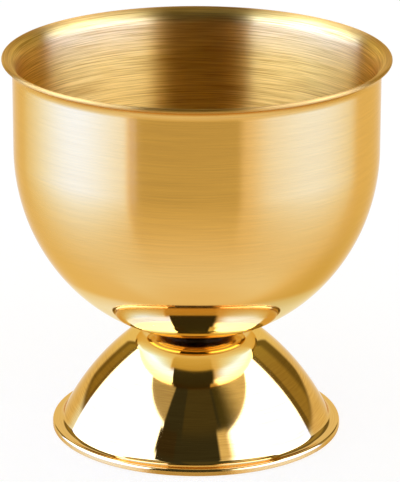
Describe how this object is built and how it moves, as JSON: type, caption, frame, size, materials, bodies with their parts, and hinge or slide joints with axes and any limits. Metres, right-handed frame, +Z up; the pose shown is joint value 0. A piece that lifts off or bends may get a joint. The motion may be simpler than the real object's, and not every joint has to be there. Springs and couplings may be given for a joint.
{
  "type": "egg cup",
  "caption": "Footed sheet-metal egg cup: a round-bottomed bowl with an out-turned lip, spot-welded to a hollow bell foot.",
  "frame": {"origin": "centre of the foot, at the level of the surface that the cup stands on", "axes": "+Z up along the cup's axis; the cup is round, so X and Y are free, and -Y faces the viewer in the picture"},
  "size_m": [0.05, 0.05, 0.0504],
  "materials": {
    "satin_gold_steel": "gold-tone coating on stainless steel, brushed round the cup inside and on the upper outside, fading to polished underneath",
    "polished_gold_steel": "gold-tone coating on mirror-polished stainless steel",
    "weld_metal": "dull fused metal under the same coating"
  },
  "bodies": {
    "root": {"bowl": "satin_gold_steel", "weld_spot": "weld_metal", "foot": "polished_gold_steel"}
  },
  "joints": []
}
